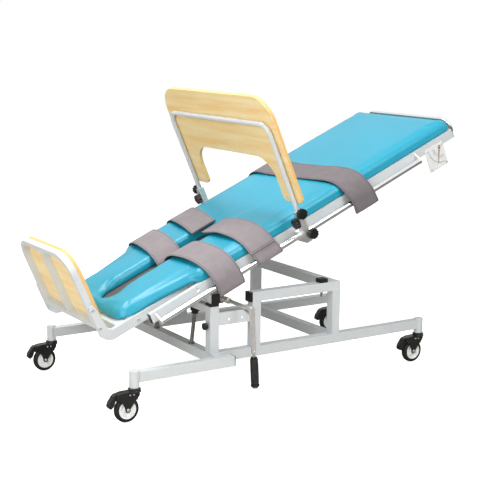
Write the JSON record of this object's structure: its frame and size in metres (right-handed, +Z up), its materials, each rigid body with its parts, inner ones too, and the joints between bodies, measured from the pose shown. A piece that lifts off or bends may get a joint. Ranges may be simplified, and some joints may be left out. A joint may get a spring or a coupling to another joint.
{
  "type": "physiotherapy tilt table",
  "caption": "Wheeled crank-driven tilt table with a slotted pad, straps, footboard, work tray and accessory rails.",
  "frame": {"origin": "on the floor, in the middle plane of the frame, about halfway between the foot and head ends", "axes": "+X to the head end, +Y to the far side in the picture, +Z up"},
  "size_m": [1.8624, 0.8795, 1.2099],
  "materials": {
    "leg_rails": "satin",
    "lower_rails": "satin",
    "cross_tubes": "satin",
    "posts": "satin",
    "upper_rails": "satin",
    "pivot_beam": "satin",
    "frame_caps": "satin",
    "side_plates": "satin",
    "hinge_brackets": "satin",
    "caster_sockets": "satin",
    "buffers": "matte",
    "stop_rods": "polished",
    "stop_caps": "matte",
    "side_rails": "satin",
    "side_rail_caps": "satin",
    "bed_cross_tubes": "satin",
    "leg_bars": "satin",
    "pivot_pins": "polished",
    "pad": "satin",
    "pad_base": "matte",
    "footboard_frame": "satin",
    "footboard_panel": "satin",
    "bed_screws": "satin",
    "accessory_rails": "polished",
    "rail_brackets": "polished",
    "push_handle": "polished",
    "gauge_plate": "gloss",
    "shin_straps": "matte",
    "thigh_straps": "matte",
    "chest_strap": "matte",
    "post_knob": "satin",
    "gauge_needle": "satin",
    "jack_housing": "satin",
    "jack_screw": "satin",
    "crank": "polished",
    "crank_link": "satin",
    "crank_grip": "satin",
    "tray_clamps": "satin",
    "tray_tube": "satin",
    "tray_board": "satin",
    "knob_a_near": "satin",
    "knob_a_far": "satin",
    "knob_b_near": "satin",
    "knob_b_far": "satin",
    "knob_c_near": "satin",
    "knob_c_far": "satin",
    "fork_foot_near": "satin",
    "wheel_foot_near": "matte",
    "pedal_foot_near": "satin",
    "fork_foot_far": "satin",
    "wheel_foot_far": "matte",
    "pedal_foot_far": "satin",
    "fork_head_near": "satin",
    "wheel_head_near": "matte",
    "pedal_head_near": "satin",
    "fork_head_far": "satin",
    "wheel_head_far": "matte",
    "pedal_head_far": "satin"
  },
  "bodies": {
    "base": {"leg_rails": "leg_rails", "lower_rails": "lower_rails", "cross_tubes": "cross_tubes", "posts": "posts", "upper_rails": "upper_rails", "pivot_beam": "pivot_beam", "frame_caps": "frame_caps", "side_plates": "side_plates", "hinge_brackets": "hinge_brackets", "caster_sockets": "caster_sockets", "buffers": "buffers", "stop_rods": "stop_rods", "stop_caps": "stop_caps"},
    "bed": {"side_rails": "side_rails", "side_rail_caps": "side_rail_caps", "bed_cross_tubes": "bed_cross_tubes", "leg_bars": "leg_bars", "pivot_pins": "pivot_pins", "pad": "pad", "pad_base": "pad_base", "footboard_frame": "footboard_frame", "footboard_panel": "footboard_panel", "bed_screws": "bed_screws", "accessory_rails": "accessory_rails", "rail_brackets": "rail_brackets", "push_handle": "push_handle", "gauge_plate": "gauge_plate", "shin_straps": "shin_straps", "thigh_straps": "thigh_straps", "chest_strap": "chest_strap"},
    "post_knob": {"post_knob": "post_knob"},
    "gauge_needle": {"gauge_needle": "gauge_needle"},
    "jack_housing": {"jack_housing": "jack_housing"},
    "jack_screw": {"jack_screw": "jack_screw"},
    "crank": {"crank": "crank"},
    "crank_link": {"crank_link": "crank_link"},
    "crank_grip": {"crank_grip": "crank_grip"},
    "tray_clamps": {"tray_clamps": "tray_clamps"},
    "tray": {"tray_tube": "tray_tube", "tray_board": "tray_board"},
    "knob_a_near": {"knob_a_near": "knob_a_near"},
    "knob_a_far": {"knob_a_far": "knob_a_far"},
    "knob_b_near": {"knob_b_near": "knob_b_near"},
    "knob_b_far": {"knob_b_far": "knob_b_far"},
    "knob_c_near": {"knob_c_near": "knob_c_near"},
    "knob_c_far": {"knob_c_far": "knob_c_far"},
    "fork_foot_near": {"fork_foot_near": "fork_foot_near"},
    "wheel_foot_near": {"wheel_foot_near": "wheel_foot_near"},
    "pedal_foot_near": {"pedal_foot_near": "pedal_foot_near"},
    "fork_foot_far": {"fork_foot_far": "fork_foot_far"},
    "wheel_foot_far": {"wheel_foot_far": "wheel_foot_far"},
    "pedal_foot_far": {"pedal_foot_far": "pedal_foot_far"},
    "fork_head_near": {"fork_head_near": "fork_head_near"},
    "wheel_head_near": {"wheel_head_near": "wheel_head_near"},
    "pedal_head_near": {"pedal_head_near": "pedal_head_near"},
    "fork_head_far": {"fork_head_far": "fork_head_far"},
    "wheel_head_far": {"wheel_head_far": "wheel_head_far"},
    "pedal_head_far": {"pedal_head_far": "pedal_head_far"}
  },
  "joints": [
    {"name": "bed_tilt", "type": "hinge", "parent": "base", "child": "bed", "pos_m": [-0.393, 0, 0.4546], "axis": [0, -1, 0], "range_deg": [-23.5, 61.5]},
    {"name": "jack_swing", "type": "hinge", "parent": "base", "child": "jack_housing", "pos_m": [-0.215, 0, 0.38], "axis": [0, -1, 0], "range_deg": [-12, 31]},
    {"name": "screw_travel", "type": "slide", "parent": "jack_housing", "child": "jack_screw", "axis": [0.0141, 0, 0.9999], "range_m": [-0.0665, 0.1735]},
    {"name": "crank_turn", "type": "hinge", "parent": "base", "child": "crank", "pos_m": [-0.215, 0, 0.38], "axis": [0, 1, 0], "range_deg": [-1411, 3691]},
    {"name": "crank_fold", "type": "hinge", "parent": "crank", "child": "crank_link", "pos_m": [-0.20432, -0.437, 0.20533], "axis": [-0.9981, 0, -0.061], "range_deg": [0, 90]},
    {"name": "grip_spin", "type": "hinge", "parent": "crank_link", "child": "crank_grip", "pos_m": [-0.20432, -0.437, 0.20533], "axis": [-0.061, 0, 0.9981], "continuous": true},
    {"name": "post_knob_turn", "type": "hinge", "parent": "base", "child": "post_knob", "pos_m": [-0.336, -0.3035, 0.299], "axis": [-1, 0, 0], "range_deg": [-20, 340]},
    {"name": "needle_swing", "type": "hinge", "parent": "bed", "child": "gauge_needle", "pos_m": [0.82348, -0.329, 0.96173], "axis": [0, -1, 0], "range_deg": [-62, 24]},
    {"name": "tray_slide", "type": "slide", "parent": "bed", "child": "tray_clamps", "axis": [0.9171, 0, 0.3987], "range_m": [-0.02, 0.19]},
    {"name": "tray_lift", "type": "slide", "parent": "tray_clamps", "child": "tray", "axis": [-0.3987, 0, 0.9171], "range_m": [-0.01, 0.09]},
    {"name": "knob_a_near_turn", "type": "hinge", "parent": "tray_clamps", "child": "knob_a_near", "pos_m": [0.03261, -0.404, 0.73671], "axis": [0, -1, 0], "range_deg": [-20, 340]},
    {"name": "knob_b_near_turn", "type": "hinge", "parent": "tray_clamps", "child": "knob_b_near", "pos_m": [0.03373, -0.39, 0.69903], "axis": [-0.9171, 0, -0.3987], "range_deg": [-20, 340]},
    {"name": "knob_c_near_turn", "type": "hinge", "parent": "tray_clamps", "child": "knob_c_near", "pos_m": [0.08991, -0.404, 0.65258], "axis": [0, -1, 0], "range_deg": [-20, 340]},
    {"name": "knob_a_far_turn", "type": "hinge", "parent": "tray_clamps", "child": "knob_a_far", "pos_m": [0.03261, 0.404, 0.73671], "axis": [0, 1, 0], "range_deg": [-20, 340]},
    {"name": "knob_b_far_turn", "type": "hinge", "parent": "tray_clamps", "child": "knob_b_far", "pos_m": [0.03373, 0.39, 0.69903], "axis": [-0.9171, 0, -0.3987], "range_deg": [-20, 340]},
    {"name": "knob_c_far_turn", "type": "hinge", "parent": "tray_clamps", "child": "knob_c_far", "pos_m": [0.08991, 0.404, 0.65258], "axis": [0, 1, 0], "range_deg": [-20, 340]},
    {"name": "swivel_foot_near", "type": "hinge", "parent": "base", "child": "fork_foot_near", "pos_m": [-0.71, -0.3925, 0.1], "axis": [0, 0, 1], "continuous": true},
    {"name": "roll_foot_near", "type": "hinge", "parent": "fork_foot_near", "child": "wheel_foot_near", "pos_m": [-0.745, -0.3925, 0.05], "axis": [0, 1, 0], "continuous": true},
    {"name": "brake_foot_near", "type": "hinge", "parent": "fork_foot_near", "child": "pedal_foot_near", "pos_m": [-0.785, -0.3925, 0.104], "axis": [0, -1, 0], "range_deg": [0, 12]},
    {"name": "swivel_foot_far", "type": "hinge", "parent": "base", "child": "fork_foot_far", "pos_m": [-0.71, 0.3925, 0.1], "axis": [0, 0, 1], "continuous": true},
    {"name": "roll_foot_far", "type": "hinge", "parent": "fork_foot_far", "child": "wheel_foot_far", "pos_m": [-0.745, 0.3925, 0.05], "axis": [0, 1, 0], "continuous": true},
    {"name": "brake_foot_far", "type": "hinge", "parent": "fork_foot_far", "child": "pedal_foot_far", "pos_m": [-0.785, 0.3925, 0.104], "axis": [0, -1, 0], "range_deg": [0, 12]},
    {"name": "swivel_head_near", "type": "hinge", "parent": "base", "child": "fork_head_near", "pos_m": [0.755, -0.3125, 0.1], "axis": [0, 0, 1], "continuous": true},
    {"name": "roll_head_near", "type": "hinge", "parent": "fork_head_near", "child": "wheel_head_near", "pos_m": [0.72, -0.3125, 0.05], "axis": [0, 1, 0], "continuous": true},
    {"name": "brake_head_near", "type": "hinge", "parent": "fork_head_near", "child": "pedal_head_near", "pos_m": [0.68, -0.3125, 0.104], "axis": [0, -1, 0], "range_deg": [0, 12]},
    {"name": "swivel_head_far", "type": "hinge", "parent": "base", "child": "fork_head_far", "pos_m": [0.755, 0.3125, 0.1], "axis": [0, 0, 1], "continuous": true},
    {"name": "roll_head_far", "type": "hinge", "parent": "fork_head_far", "child": "wheel_head_far", "pos_m": [0.72, 0.3125, 0.05], "axis": [0, 1, 0], "continuous": true},
    {"name": "brake_head_far", "type": "hinge", "parent": "fork_head_far", "child": "pedal_head_far", "pos_m": [0.68, 0.3125, 0.104], "axis": [0, -1, 0], "range_deg": [0, 12]}
  ],
  "couplings": [
    {"joint": "jack_swing", "follows": "bed_tilt", "ratio": 0.5},
    {"joint": "screw_travel", "follows": "bed_tilt", "m_per_rad": 0.16093},
    {"joint": "crank_turn", "follows": "bed_tilt", "ratio": 60},
    {"joint": "needle_swing", "follows": "bed_tilt", "ratio": -1}
  ]
}
